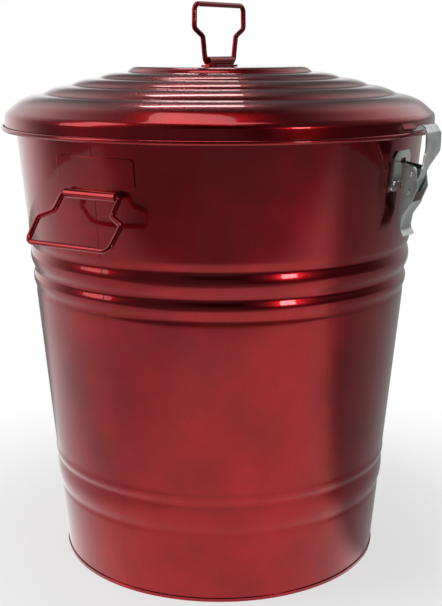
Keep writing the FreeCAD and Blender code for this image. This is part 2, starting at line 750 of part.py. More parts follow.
def make_latch_base(name, turn):
    """The riveted plate with its window, and the two ears that carry the lever's pin."""
    low = f"({LEVER_PIN_HEIGHT} - base_below_pin)"
    high = f"({LEVER_PIN_HEIGHT} + base_above_pin)"
    notch = f"({low} + base_notch_height)"
    half = "base_half_width"
    front = Outline(f"-{half}", low, "base_lobe_corner")
    front.line("-base_notch_half", low, "base_lobe_corner / 2")
    front.line("-base_notch_half", notch)
    front.line("base_notch_half", notch)
    front.line("base_notch_half", low, "base_lobe_corner / 2")
    front.line(half, low, "base_lobe_corner")
    front.line(half, f"{high} - base_corner", "base_corner")
    front.line(f"{half} - base_corner", high, "base_corner")
    front.line(f"-({half} - base_corner)", high, "base_corner")
    front.line(f"-{half}", f"{high} - base_corner", "base_corner")
    block = extrude(f"{name}_front", facing(front.draw(f"{name}_outline")), (1, 0, 0),
                    length="2 * base_radius")
    plate = overlap(f"{name}_plate", wall_layer(name, low, high, "latch_sheet"), block)
    sill = f"({LEVER_PIN_HEIGHT} + window_above_pin)"
    pane = Outline("-window_half", sill)
    pane.line("window_half", sill)
    pane.line("window_half", f"{sill} + window_height")
    pane.line("-window_half", f"{sill} + window_height")
    window = extrude(f"{name}_window", facing(pane.draw(f"{name}_window_outline")), (1, 0, 0),
                     length="2 * base_radius")

    def ear(sketch_name):
        foot_low = f"({LEVER_PIN_HEIGHT} - ear_foot_half)"
        foot_high = f"({LEVER_PIN_HEIGHT} + ear_foot_half)"
        tip = f"{LEVER_PIN_OUT} + ear_radius"
        shape = Outline(f"{wall_at(foot_low)} + latch_sheet / 2", foot_low)
        shape.line(tip, f"{LEVER_PIN_HEIGHT} - ear_radius", f"ear_radius * {EAR_ROUNDING}")
        shape.line(tip, f"{LEVER_PIN_HEIGHT} + ear_radius", f"ear_radius * {EAR_ROUNDING}")
        shape.line(f"{wall_at(foot_high)} + latch_sheet / 2", foot_high)
        return shape.draw(sketch_name)

    ears = ear_plates(f"{name}_ear", ear, "ear_inner_half")
    bore = rod(f"{name}_bore", "latch_pin_radius + fit_gap", LEVER_HALF, "y", LEVER_PIN_OUT,
               LEVER_PIN_HEIGHT)
    holes = [make_rivet_hole(f"{name}_hole_{number}", angle, "rivet_radius + fit_gap")
             for number, angle in enumerate(rivet_angles(0), start=1)]
    base = cut(name, join(f"{name}_whole", cut(f"{name}_pane", plate, window), *ears), bore, *holes)
    base.Placement = turned(turn)
    return base


def make_base_rivets(name, turn):
    """Both rivets of a latch base: a domed head outside, a flat tail inside the can."""
    rivets = []
    for number, angle in enumerate(rivet_angles(turn), start=1):
        tail, seat = "(wall_sheet + fit_gap)", "(latch_sheet + fit_gap)"
        shape = Outline("0", f"-{tail} - rivet_head_height / 2")
        shape.line(f"rivet_head_radius * {TAIL_SHARE}", f"-{tail} - rivet_head_height / 2")
        shape.line(f"rivet_head_radius * {TAIL_SHARE}", f"-{tail}")
        shape.line("rivet_radius", f"-{tail}")
        shape.line("rivet_radius", seat)
        shape.line("rivet_head_radius", seat)
        dome = "(rivet_head_radius^2 + rivet_head_height^2) / (2 * rivet_head_height)"
        shape.arc("0", f"{seat} + rivet_head_height", dome, 1)
        rivet = revolve(f"{name}_{number}", upright(shape.draw(f"{name}_{number}_outline")))
        along = FreeCAD.Placement(Vector(0, 0, 0), Rotation(Vector(0, 1, 0), 90))
        rivet.Placement = rivet_placement(angle).multiply(along)
        rivets.append(rivet)
    pair = doc.addObject("Part::Compound", name)
    pair.Links = rivets
    return pair


def make_pin(name, turn, out, height):
    """A headed pin along the latch's width, its heads just outside the lever's cheeks."""
    seat = f"({LEVER_HALF} + fit_gap)"
    shank = rod(f"{name}_shank", "latch_pin_radius", seat, "y", out, height)
    parts = [shank]
    for label, side in (("near", -1), ("far", 1)):
        head = doc.addObject("Part::Cylinder", f"{name}_{label}_head")
        bind(head, Radius="pin_head_radius", Height="pin_head_height")
        start = amount(seat) if side > 0 else -amount(f"{seat} + pin_head_height")
        place(head, (amount(out), start, amount(height)), (1, 0, 0), -90)
        parts.append(head)
    pin = join(name, *parts)
    pin.Placement = turned(turn)
    return pin


WEB_POINTS = ("web_knee", "web_waist", "web_heel", "web_tip")


def web_point(point):
    """A point of the lever's handle, out from and below its pin."""
    return f"{LEVER_PIN_OUT} + {point}_out", f"{LEVER_PIN_HEIGHT} - {point}_drop"


def strip(name, path, half_width):
    """Latch sheet bent along an upright path, this wide to each side."""
    doc.recompute()
    start = path.Shape.Vertexes[0].Point
    edge = path.Shape.Edges[0]
    along = edge.tangentAt(edge.FirstParameter)
    section = Outline(f"-{half_width}", "-latch_sheet / 2")
    section.line(half_width, "-latch_sheet / 2")
    section.line(half_width, "latch_sheet / 2")
    section.line(f"-{half_width}", "latch_sheet / 2")
    sketch = section.draw(f"{name}_section")
    sketch.Placement = FreeCAD.Placement(start, Rotation(Vector(0, 1, 0), Vector(0, 0, 1), along, "ZXY"))
    return sweep(name, sketch, path)


def make_latch_lever(name, turn):
    """The lever: a curved handle with a turned-out tip, and a cheek down each side."""
    x, z = web_point(WEB_POINTS[0])
    line = Outline(x, z)
    for point in WEB_POINTS[1:-1]:
        x, z = web_point(point)
        line.line(x, z, "web_bend")
    x, z = web_point(WEB_POINTS[-1])
    line.line(x, z)
    web = strip(f"{name}_web", upright(line.draw(f"{name}_path", closed=False)), LEVER_HALF)

    def cheek(sketch_name):
        reach = "lever_ear_radius"
        top, bend = f"{LEVER_PIN_HEIGHT} + {reach}", f"{reach} * {EAR_ROUNDING}"
        shape = Outline(f"{LEVER_PIN_OUT} + {reach}", top, bend)
        shape.line(f"{LEVER_PIN_OUT} - {reach}", top, bend)
        shape.line(f"{CLAW_PIN_OUT} - {reach}", CLAW_PIN_HEIGHT, "cheek_bend")
        x, z = web_point("web_waist")
        shape.line(f"{x} - cheek_depth", z, "cheek_bend")
        x, z = web_point("web_heel")
        shape.line(x, z)
        x, z = web_point("web_waist")
        shape.line(x, z, "web_bend")
        x, z = web_point("web_knee")
        shape.line(x, z, "web_bend")
        x, z = web_point("cheek_brow")
        shape.line(x, z, "cheek_bend")
        return shape.draw(sketch_name)

    cheeks = ear_plates(f"{name}_cheek", cheek, "lever_ear_inner_half")
    bores = [rod(f"{name}_bore", "latch_pin_radius + shaft_gap", f"2 * {LEVER_HALF}", "y",
                 LEVER_PIN_OUT, LEVER_PIN_HEIGHT),
             rod(f"{name}_claw_bore", "latch_pin_radius + fit_gap", f"2 * {LEVER_HALF}", "y",
                 CLAW_PIN_OUT, CLAW_PIN_HEIGHT)]
    lever = cut(name, join(f"{name}_whole", web, *cheeks), *bores)
    lever.Placement = turned(turn)
    return lever


def make_latch_claw(name, turn):
    """The claw: a hook over the lid's lip, a broad bulging strap and a tongue to its rolled eye."""
    tip = f"({SKIRT_RADIUS} + lip_curl_radius + {LIP_ROLL} - hook_reach)"
    land = f"({LIP_HEIGHT} + {LIP_ROLL} + hook_lift + latch_sheet / 2)"
    ring = "(latch_pin_radius + shaft_gap + latch_sheet / 2)"
    line = Outline(tip, land)
    line.line(f"{tip} + hook_land", land, "hook_land_bend")
    line.line(f"{tip} + hook_crown_out", f"{land} + hook_crown_rise", "hook_crown_bend")
    line.line(f"{tip} + claw_brow_out", f"{land} - claw_brow_drop", "claw_brow_bend")
    line.line(f"{tip} + claw_brow_out", f"{land} - claw_belly_drop", "claw_belly_bend")
    line.line(f"{LEVER_PIN_OUT} + claw_throat_out", f"{LEVER_PIN_HEIGHT} + claw_throat_rise",
              "claw_throat_bend")
    line.line(f"{CLAW_PIN_OUT} + {ring}", CLAW_PIN_HEIGHT)
    strap = strip(f"{name}_strap", upright(line.draw(f"{name}_path", closed=False)), "claw_half_width")

    base = f"({CLAW_PIN_HEIGHT} - 2 * {ring})"
    neck = f"({LEVER_PIN_HEIGHT} + tongue_rise)"
    flare = f"({LEVER_PIN_HEIGHT} + claw_flare_rise)"
    shoulder = f"({land} - claw_shoulder_drop)"
    crown = f"({land} + hook_crown_rise + latch_sheet)"
    wide, narrow, top = "claw_half_width", "claw_tongue_half", "claw_crown_half"
    front = Outline(f"-{narrow}", base)
    front.line(narrow, base)
    front.line(narrow, neck, "claw_flare_bend")
    front.line(wide, flare, "claw_flare_bend")
    front.line(wide, shoulder, "claw_flare_bend")
    front.line(top, crown)
    front.line(f"-{top}", crown)
    front.line(f"-{wide}", shoulder, "claw_flare_bend")
    front.line(f"-{wide}", flare, "claw_flare_bend")
    front.line(f"-{narrow}", neck, "claw_flare_bend")
    block = extrude(f"{name}_front", facing(front.draw(f"{name}_outline")), (1, 0, 0),
                    length="2 * base_radius")
    blade = overlap(f"{name}_blade", strap, block)
    eye = rod(f"{name}_eye", f"{ring} + latch_sheet / 2", narrow, "y", CLAW_PIN_OUT, CLAW_PIN_HEIGHT)
    bore = rod(f"{name}_bore", "latch_pin_radius + shaft_gap", "claw_half_width", "y", CLAW_PIN_OUT,
               CLAW_PIN_HEIGHT)
    claw = cut(name, join(f"{name}_whole", blade, eye), bore)
    claw.Placement = turned(turn)
    return claw


def make_all():
    """Every sub-part, each under its own label."""
    parts = [make_can_shell(), make_can_bottom(), make_rim_wire()]
    for side, turn in (("left", 180), ("right", 0)):
        parts.append(make_side_bracket(f"side_bracket_{side}", turn))
        parts.append(make_side_bail(f"side_bail_{side}", turn))
    for side, turn in (("front", -90), ("rear", 90)):
        parts.append(make_latch_base(f"latch_base_{side}", turn))
        parts.append(make_base_rivets(f"base_rivets_{side}", turn))
        parts.append(make_pin(f"lever_pin_{side}", turn, LEVER_PIN_OUT, LEVER_PIN_HEIGHT))
        parts.append(make_latch_lever(f"latch_lever_{side}", turn))
        parts.append(make_pin(f"claw_pin_{side}", turn, CLAW_PIN_OUT, CLAW_PIN_HEIGHT))
        parts.append(make_latch_claw(f"latch_claw_{side}", turn))
    parts += [make_lid_shell(), make_lid_bracket(), make_lid_bail()]
    return parts


def check(parts):
    """Stops when any object failed or a sub-part's shape is missing or wrong."""
    for item in doc.Objects:
        if "Invalid" in item.State or "Error" in item.State:
            raise RuntimeError(f"{item.Name} failed: {item.State}")
    for item in parts:
        if item.Shape.isNull() or not item.Shape.isValid() or not item.Shape.Solids:
            raise RuntimeError(f"{item.Name} has no valid solid")


SUB_PARTS = make_all()
doc.recompute()
check(SUB_PARTS)
os.makedirs("parts", exist_ok=True)
for sub_part in SUB_PARTS:
    sub_part.Label = sub_part.Name
    sub_part.Shape.exportStep(f"parts/{sub_part.Label}.step")
    box = sub_part.Shape.BoundBox
    print(f"{sub_part.Label}: {len(sub_part.Shape.Solids)} solids, {sub_part.Shape.Volume:.0f} mm3, "
          f"z {box.ZMin:.1f} to {box.ZMax:.1f}")
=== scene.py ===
"""Looks of the lidded steel can: candy red lacquered shells, bent wire handles, zinc plated latches."""
import logging
import math
from dataclasses import dataclass
from enum import Enum

import bpy
from bpy.types import Material, Node, NodeSocket, NodeTree, Object
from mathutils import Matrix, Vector


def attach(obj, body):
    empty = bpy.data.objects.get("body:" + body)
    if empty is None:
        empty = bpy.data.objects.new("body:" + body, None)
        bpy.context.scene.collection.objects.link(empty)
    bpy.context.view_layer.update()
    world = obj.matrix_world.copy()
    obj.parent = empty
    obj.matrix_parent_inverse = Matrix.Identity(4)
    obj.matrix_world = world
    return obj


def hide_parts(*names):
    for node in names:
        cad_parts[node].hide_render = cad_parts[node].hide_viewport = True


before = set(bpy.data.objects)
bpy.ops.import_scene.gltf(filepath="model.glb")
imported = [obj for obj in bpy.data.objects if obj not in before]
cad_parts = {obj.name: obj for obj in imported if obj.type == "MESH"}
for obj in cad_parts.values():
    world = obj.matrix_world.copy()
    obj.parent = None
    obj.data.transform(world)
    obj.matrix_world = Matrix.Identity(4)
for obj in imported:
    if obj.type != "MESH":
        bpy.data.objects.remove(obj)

log = logging.getLogger("can")

MM = 0.001
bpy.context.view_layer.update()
WELD_MM = 0.01
SHEET_SMOOTHING = 35.0
WIRE_SMOOTHING = 50.0
WIRE_ROUNDNESS = 5
HANDLE_BENDS = (2.6, 3.6, 3.6, 5.0)
BARREL_TO_BEND = 2.8

Point = tuple[float, float]
Span = tuple[float, float]
Fade = tuple[Span, Span]


class Side(Enum):
    """Which way a paired part faces: along -X or +X for handles, -Y or +Y for latches."""

    LEFT = ("left", -1.0)
    RIGHT = ("right", 1.0)
    FRONT = ("front", -1.0)
    REAR = ("rear", 1.0)

    @property
    def word(self) -> str:
        """The side's name, as the record spells it."""
        return self.value[0]

    @property
    def sign(self) -> float:
        """The side's direction along its axis."""
        return self.value[1]


# ---------------------------------------------------------------- materials


def linear(code: str) -> tuple[float, float, float, float]:
    """Turns an sRGB hex colour into Blender's linear colour.

    Args:
        code: six hex digits, such as "8a1c22".

    Returns:
        Linear red, green, blue and an alpha of 1.
    """
    channels = []
    for start in (0, 2, 4):
        value = int(code[start:start + 2], 16) / 255
        channels.append(value / 12.92 if value <= 0.04045 else ((value + 0.055) / 1.055) ** 2.4)
    return (channels[0], channels[1], channels[2], 1.0)


def add_node(tree: NodeTree, kind: str, values: dict | None = None, **settings: object) -> Node:
    """Adds a node, sets its properties and sets or links its inputs.

    Args:
        tree: the tree that gets the node.
        kind: the node's type name.
        values: input name or number to a value, or to another node's output socket.
        settings: the node's own properties.

    Returns:
        The new node.
    """
    node = tree.nodes.new(kind)
    for name, setting in settings.items():
        setattr(node, name, setting)
    for key, value in (values or {}).items():
        if isinstance(value, NodeSocket):
            tree.links.new(value, node.inputs[key])
        else:
            node.inputs[key].default_value = value
    return node


def new_material(name: str) -> Material:
    """Makes an empty node material.

    Args:
        name: the material's name.

    Returns:
        The material, without nodes.
    """
    material = bpy.data.materials.new(name)
    material.use_nodes = True
    material.node_tree.nodes.clear()
    return material


def fade(tree: NodeTree, value: NodeSocket, span: Span, levels: Span) -> NodeSocket:
    """Adds a smooth change from one level to another over a span.

    Args:
        tree: the tree that gets the node.
        value: the socket that drives it.
        span: the values at which the change starts and ends.
        levels: the levels before and after it.

    Returns:
        The socket with the level.
    """
    limits = {"From Min": span[0], "From Max": span[1], "To Min": levels[0], "To Max": levels[1]}
    node = add_node(tree, "ShaderNodeMapRange", {"Value": value, **limits}, interpolation_type="SMOOTHSTEP")
    return node.outputs["Result"]


def dot(tree: NodeTree, place: NodeSocket, way: Vector) -> NodeSocket:
    """Adds the distance of a place along a direction.

    Args:
        tree: the tree that gets the node.
        place: the socket with the place.
        way: the unit direction.

    Returns:
        The socket with the distance.
    """
    node = add_node(tree, "ShaderNodeVectorMath", {0: place, 1: way}, operation="DOT_PRODUCT")
    return node.outputs["Value"]


def times(tree: NodeTree, first: NodeSocket, second: NodeSocket) -> NodeSocket:
    """Adds the product of two levels.

    Args:
        tree: the tree that gets the node.
        first: the socket with one level.
        second: the socket with the other.

    Returns:
        The socket with the product.
    """
    node = add_node(tree, "ShaderNodeMath", {0: first, 1: second}, operation="MULTIPLY")
    return node.outputs["Value"]


def ramp(tree: NodeTree, factor: NodeSocket, stops: list[tuple[float, str]]) -> Node:
    """Adds a colour ramp.

    Args:
        tree: the tree that gets the ramp.
        factor: the socket that drives it.
        stops: place and hex colour of each stop, lowest first.

    Returns:
        The ramp node.
    """
    node = add_node(tree, "ShaderNodeValToRGB", {"Fac": factor})
    elements = node.color_ramp.elements
    while len(elements) < len(stops):
        elements.new(0.5)
    for element, (place, code) in zip(elements, stops):
        element.position = place
        element.color = linear(code)
    return node


@dataclass(frozen=True)
class CandyLacquer:
    """Transparent red lacquer baked over bright tinned steel.

    The light goes through the lacquer, off the metal and back, so the colour is deep, with a soft metallic
    glow under a hard clear gloss.
    """

    name: str = "candy_red_lacquer_on_steel_baked"
    deep: str = "7c0c13"
    bright: str = "a6121b"
    colour_span: Span = (0.3, 0.7)
    metal_roughness: float = 0.26
    roughness_spread: float = 0.05
    coat_roughness: float = 0.04
    coat_index: float = 1.35
    cloud_mm: float = 55.0
    grain_mm: float = 1.1
    grain_share: float = 0.3
    peel_mm: float = 5.0
    peel_depth_mm: float = 0.2
    peel_strength: float = 0.08
    dent_mm: float = 70.0
    dent_depth_mm: float = 1.0
    dent_strength: float = 0.35
    edge_mm: float = 0.35

    def build(self) -> Material:
        """Builds the material.

        Returns:
            The lacquer, patterned by each piece's Object coordinates.
        """
        material = new_material(self.name)
        tree = material.node_tree
        place = add_node(tree, "ShaderNodeTexCoord").outputs["Object"]
        cloud = add_node(tree, "ShaderNodeTexNoise", {
            "Vector": place, "Scale": 1 / (self.cloud_mm * MM), "Detail": 3.0, "Roughness": 0.55})
        grain = add_node(tree, "ShaderNodeTexNoise", {
            "Vector": place, "Scale": 1 / (self.grain_mm * MM), "Detail": 2.0, "Roughness": 0.6})
        blend = add_node(tree, "ShaderNodeMix", {
            "Factor": self.grain_share, "A": cloud.outputs["Fac"], "B": grain.outputs["Fac"]},
            data_type="FLOAT")
        low, high = self.colour_span
        colour = ramp(tree, blend.outputs["Result"], [(low, self.deep), (high, self.bright)])
        rough = add_node(tree, "ShaderNodeMapRange", {
            "Value": cloud.outputs["Fac"], "To Min": self.metal_roughness - self.roughness_spread,
            "To Max": self.metal_roughness + self.roughness_spread})
        edge = add_node(tree, "ShaderNodeBevel", {"Radius": self.edge_mm * MM}, samples=4)
        peel = add_node(tree, "ShaderNodeTexNoise", {
            "Vector": place, "Scale": 1 / (self.peel_mm * MM), "Detail": 1.0})
        dent = add_node(tree, "ShaderNodeTexNoise", {
            "Vector": place, "Scale": 1 / (self.dent_mm * MM), "Detail": 0.0})
        waves = add_node(tree, "ShaderNodeBump", {
            "Height": dent.outputs["Fac"], "Strength": self.dent_strength,
            "Distance": self.dent_depth_mm * MM, "Normal": edge.outputs["Normal"]})
        skin = add_node(tree, "ShaderNodeBump", {
            "Height": peel.outputs["Fac"], "Strength": self.peel_strength,
            "Distance": self.peel_depth_mm * MM, "Normal": waves.outputs["Normal"]})
        shader = add_node(tree, "ShaderNodeBsdfPrincipled", {
            "Base Color": colour.outputs["Color"], "Metallic": 1.0, "Roughness": rough.outputs["Result"],
            "Coat Weight": 1.0, "Coat Roughness": self.coat_roughness, "Coat IOR": self.coat_index,
            "Normal": waves.outputs["Normal"], "Coat Normal": skin.outputs["Normal"]})
        add_node(tree, "ShaderNodeOutputMaterial", {"Surface": shader.outputs["BSDF"]})
        return material


@dataclass(frozen=True)
class Galvanized:
    """Hot dipped zinc on mild steel: matt grey with soft crystal patches, for the wire in the rim."""

    name: str = "galvanized_steel_hot_dipped"
    dark: str = "8d9194"
    light: str = "b9bdc0"
    spangle_mm: float = 9.0
    roughness: float = 0.42
    smoother: float = 0.08
    rougher: float = 0.1

    def build(self) -> Material:
        """Builds the material.

        Returns:
            The zinc, its crystals as Voronoi cells of spangle size.
        """
        material = new_material(self.name)
        tree = material.node_tree
        place = add_node(tree, "ShaderNodeTexCoord").outputs["Object"]
        cells = add_node(tree, "ShaderNodeTexVoronoi", {
            "Vector": place, "Scale": 1 / (self.spangle_mm * MM)}, feature="F1")
        tone = add_node(tree, "ShaderNodeSeparateColor", {"Color": cells.outputs["Color"]})
        colour = ramp(tree, tone.outputs["Red"], [(0.0, self.dark), (1.0, self.light)])
        rough = add_node(tree, "ShaderNodeMapRange", {
            "Value": tone.outputs["Green"], "To Min": self.roughness - self.smoother,
            "To Max": self.roughness + self.rougher})
        shader = add_node(tree, "ShaderNodeBsdfPrincipled", {
            "Base Color": colour.outputs["Color"], "Metallic": 1.0, "Roughness": rough.outputs["Result"]})
        add_node(tree, "ShaderNodeOutputMaterial", {"Surface": shader.outputs["BSDF"]})
        return material


@dataclass(frozen=True)
class ZincPlate:
    """Electroplated zinc on pressed strip: bright and silvery, faintly brushed, duller in patches."""

    name: str = "zinc_plated_steel_pressed"
    dark: str = "c3cac8"
    light: str = "e9edeb"
    colour_span: Span = (0.35, 0.6)
    patch_mm: float = 14.0
    scratch_mm: float = 0.6
    scratch_stretch: float = 0.12
    scratch_depth_mm: float = 0.05
    scratch_strength: float = 0.08
    roughness: float = 0.15
    smoother: float = 0.04
    rougher: float = 0.08
    edge_mm: float = 0.35

    def build(self) -> Material:
        """Builds the material.

        Returns:
            The plate, with patches and fine scratches along its strip.
        """
        material = new_material(self.name)
        tree = material.node_tree
        place = add_node(tree, "ShaderNodeTexCoord").outputs["Object"]
        patch = add_node(tree, "ShaderNodeTexNoise", {
            "Vector": place, "Scale": 1 / (self.patch_mm * MM), "Detail": 2.0, "Roughness": 0.5})
        stretch = add_node(tree, "ShaderNodeMapping", {
            "Vector": place, "Scale": (1.0, 1.0, self.scratch_stretch)})
        scratch = add_node(tree, "ShaderNodeTexNoise", {
            "Vector": stretch.outputs["Vector"], "Scale": 1 / (self.scratch_mm * MM), "Detail": 2.0})
        low, high = self.colour_span
        colour = ramp(tree, patch.outputs["Fac"], [(low, self.dark), (high, self.light)])
        rough = add_node(tree, "ShaderNodeMapRange", {
            "Value": patch.outputs["Fac"], "To Min": self.roughness + self.rougher,
            "To Max": self.roughness - self.smoother})
        edge = add_node(tree, "ShaderNodeBevel", {"Radius": self.edge_mm * MM}, samples=4)
        bump = add_node(tree, "ShaderNodeBump", {
            "Height": scratch.outputs["Fac"], "Strength": self.scratch_strength,
            "Distance": self.scratch_depth_mm * MM, "Normal": edge.outputs["Normal"]})
        shader = add_node(tree, "ShaderNodeBsdfPrincipled", {
            "Base Color": colour.outputs["Color"], "Metallic": 1.0, "Roughness": rough.outputs["Result"],
            "Normal": bump.outputs["Normal"]})
        add_node(tree, "ShaderNodeOutputMaterial", {"Surface": shader.outputs["BSDF"]})
        return material


# ---------------------------------------------------------------- bench work


def deselect() -> None:
    """Leaves nothing selected, in object mode."""
    if bpy.context.object and bpy.context.object.mode != "OBJECT":
        bpy.ops.object.mode_set(mode="OBJECT")
    bpy.ops.object.select_all(action="DESELECT")


def trace(name: str, points: list[Vector]) -> Object:
    """Draws a line of edges through points, by extruding one vertex along them.

    Args:
        name: the new object's name.
        points: where the line goes, in metres.

    Returns:
        The object, at the origin, in edit mode with its last vertex selected.
    """
    deselect()
    bpy.ops.mesh.primitive_plane_add(size=MM, location=points[0])
    piece = bpy.context.object
    piece.name = name
    piece.data.name = name
    bpy.ops.object.transform_apply(location=True, rotation=True, scale=True)
    bpy.ops.object.mode_set(mode="EDIT")
    bpy.ops.mesh.select_mode(type="VERT")
    bpy.ops.mesh.select_all(action="SELECT")
    bpy.ops.mesh.merge(type="CENTER")
    for here, there in zip(points, points[1:]):
        bpy.ops.mesh.extrude_region_move(TRANSFORM_OT_translate={"value": there - here})
    return piece


def apply_modifier(piece: Object, kind: str, **settings: object) -> None:
    """Adds a modifier with these settings and applies it.

    Args:
        piece: the object, which becomes the active one.
        kind: the modifier's type.
        settings: its properties.
    """
    deselect()
    piece.select_set(True)
    bpy.context.view_layer.objects.active = piece
    modifier = piece.modifiers.new(kind.title(), kind)
    for key, setting in settings.items():
        setattr(modifier, key, setting)
    bpy.ops.object.modifier_apply(modifier=modifier.name)


def smooth(piece: Object, degrees: float = SHEET_SMOOTHING) -> None:
    """Shades a piece smooth, but for its sharp edges.

    Args:
        piece: the object.
        degrees: the angle above which an edge stays sharp.
    """
    deselect()
    piece.select_set(True)
    bpy.context.view_layer.objects.active = piece
    bpy.ops.object.shade_smooth_by_angle(angle=math.radians(degrees))


def dress(piece: Object, finish: Material, body: str, nodes: tuple[str, ...]) -> None:
    """Gives a finished piece its material and its body, and hides the CAD nodes that it stands for.

    Args:
        piece: the finished object.
        finish: its material.
        body: the body that it rides on.
        nodes: CAD nodes that it replaces; may be empty.
    """
    piece.data.materials.clear()
    piece.data.materials.append(finish)
    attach(piece, body)
    if nodes:
        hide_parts(*nodes)
    log.info("%s: %d faces, rides on %s", piece.name, len(piece.data.polygons), body)


def refinish(node: str, finish: Material) -> None:
    """Gives a CAD node a better material.

    Args:
        node: the node's name.
        finish: its material.
    """
    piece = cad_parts[node]
    piece.data.materials.clear()
    piece.data.materials.append(finish)
    log.info("%s: refinished", node)


def arc_points(start: Point, end: Point, radius: float, turn: int, steps: int) -> list[Point]:
    """Points along a minor arc, without its start.

    Args:
        start: first end of the arc.
        end: last end of the arc.
        radius: the arc's radius.
        turn: 1 when the arc runs anticlockwise, -1 when clockwise.
        steps: how many points.

    Returns:
        The points, the last one at the arc's end.
    """
    chord = Vector((end[0] - start[0], end[1] - start[1]))
    side = Vector((-chord.y, chord.x)).normalized()
    depth = math.sqrt(max(radius ** 2 - chord.length_squared / 4, 0.0))
    centre = Vector(start) + chord / 2 + side * depth * turn
    first = math.atan2(start[1] - centre.y, start[0] - centre.x)
    sweep = 2 * math.asin(min(chord.length / (2 * radius), 1.0)) * turn
    angles = [first + sweep * step / steps for step in range(1, steps + 1)]
    return [(centre.x + radius * math.cos(a), centre.y + radius * math.sin(a)) for a in angles]


def run_points(start: Point, end: Point, steps: int) -> list[Point]:
    """Evenly spaced points along a straight run, without its start.

    Args:
        start: where the run begins.
        end: where it ends.
        steps: how many points.

    Returns:
        The points, the last one at the run's end.
    """
    return [(start[0] + (end[0] - start[0]) * s / steps, start[1] + (end[1] - start[1]) * s / steps)
            for s in range(1, steps + 1)]


def soften(points: list[Point], passes: int) -> list[Point]:
    """Rounds a drawn line's corners a little, as pressed sheet has them, and keeps its ends.

    Args:
        points: the line.
        passes: how many times each point moves halfway to its neighbours' middle.

    Returns:
        The softened line.
    """
    line = list(points)
    for _ in range(passes):
        inner = [((a[0] + 2 * b[0] + c[0]) / 4, (a[1] + 2 * b[1] + c[1]) / 4)
                 for a, b, c in zip(line, line[1:], line[2:])]
        line = [line[0], *inner, line[-1]]
    return line


def spin_sheet(name: str, profile: list[Point], sheet: float, steps: int) -> Object:
    """Spins a drawn mid line round the can's axis and gives it the sheet's thickness.

    Args:
        name: the piece's name.
        profile: radius and height of each point, in mm.
        sheet: the thickness, in mm.
        steps: how many faces round the can.

    Returns:
        The closed shell.
    """
    piece = trace(name, [Vector((r * MM, 0, z * MM)) for r, z in profile])
    bpy.ops.mesh.select_all(action="SELECT")
    bpy.ops.mesh.spin(steps=steps, angle=2 * math.pi, center=(0, 0, 0), axis=(0, 0, 1))
    bpy.ops.mesh.select_all(action="SELECT")
    bpy.ops.mesh.remove_doubles(threshold=WELD_MM * MM)
    bpy.ops.mesh.normals_make_consistent(inside=False)
    apply_modifier(piece, "SOLIDIFY", thickness=sheet * MM, offset=0.0, use_even_offset=True)
    smooth(piece)
    return piece


def bent(corners: list[Vector], bends: tuple[float, ...], steps: int = 8) -> list[Vector]:
    """Rounds the corners of a wire's middle line.

    Args:
        corners: the wire's ends and corners, in metres.
        bends: the radius of each corner's bend, in mm.
        steps: runs in each bend.

    Returns:
        The line's points, in metres.
    """
    line = [corners[0]]
    for before, corner, after, bend in zip(corners, corners[1:], corners[2:], bends):
        back, ahead = (before - corner).normalized(), (after - corner).normalized()
        half = back.angle(ahead) / 2
        radius = bend * MM
        reach = radius / math.tan(half)
        centre = corner + (back + ahead).normalized() * (radius / math.sin(half))
        first = (corner + back * reach - centre).normalized()
        last = (corner + ahead * reach - centre).normalized()
        line.extend(centre + first.slerp(last, step / steps) * radius for step in range(steps + 1))
    return [*line, corners[-1]]


def bend_wire(name: str, corners: list[Vector], bends: tuple[float, ...], radius: float) -> Object:
    """Bends a round wire through corners.

    Args:
        name: the piece's name.
        corners: the wire's ends and the corners of its middle line, in metres.
        bends: the radius of each corner's bend, in mm.
        radius: the wire's radius, in mm.

    Returns:
        The wire as a closed mesh.
    """
    piece = trace(name, bent(corners, bends))
    deselect()
    piece.select_set(True)
    bpy.ops.object.convert(target="CURVE")
    piece.data.bevel_depth = radius * MM
    piece.data.bevel_resolution = WIRE_ROUNDNESS
    piece.data.use_fill_caps = True
    bpy.ops.object.convert(target="MESH")
    bpy.ops.object.mode_set(mode="EDIT")
    bpy.ops.mesh.select_all(action="SELECT")
    bpy.ops.mesh.remove_doubles(threshold=WELD_MM * MM)
    bpy.ops.mesh.normals_make_consistent(inside=False)
    smooth(piece, WIRE_SMOOTHING)
    return piece


def mirrored(half: list[Point]) -> list[Point]:
    """The whole line of a handle that is the same on both sides.

    Args:
        half: one half of it, from the wire's end to the grip's corner.

    Returns:
        The line from one end of the wire to the other.
    """
    return [(-across, along) for across, along in half] + list(reversed(half))


# ---------------------------------------------------------------- the can


@dataclass
class Wall:
    """Sizes of the tapered wall, in mm, shared by all that sits on it."""

    base_radius: float = 127.7
    taper: float = 0.0894
    sheet: float = 0.7
    rim_height: float = 352.1
    rim_wire: float = 3.0

    def at(self, height: float) -> float:
        """Radius of the wall's outer face at a height."""
        return self.base_radius + self.taper * height

    @property
    def rim_radius(self) -> float:
        """Radius of the circle that the rim's wire follows."""
        return self.at(self.rim_height) + self.rim_wire


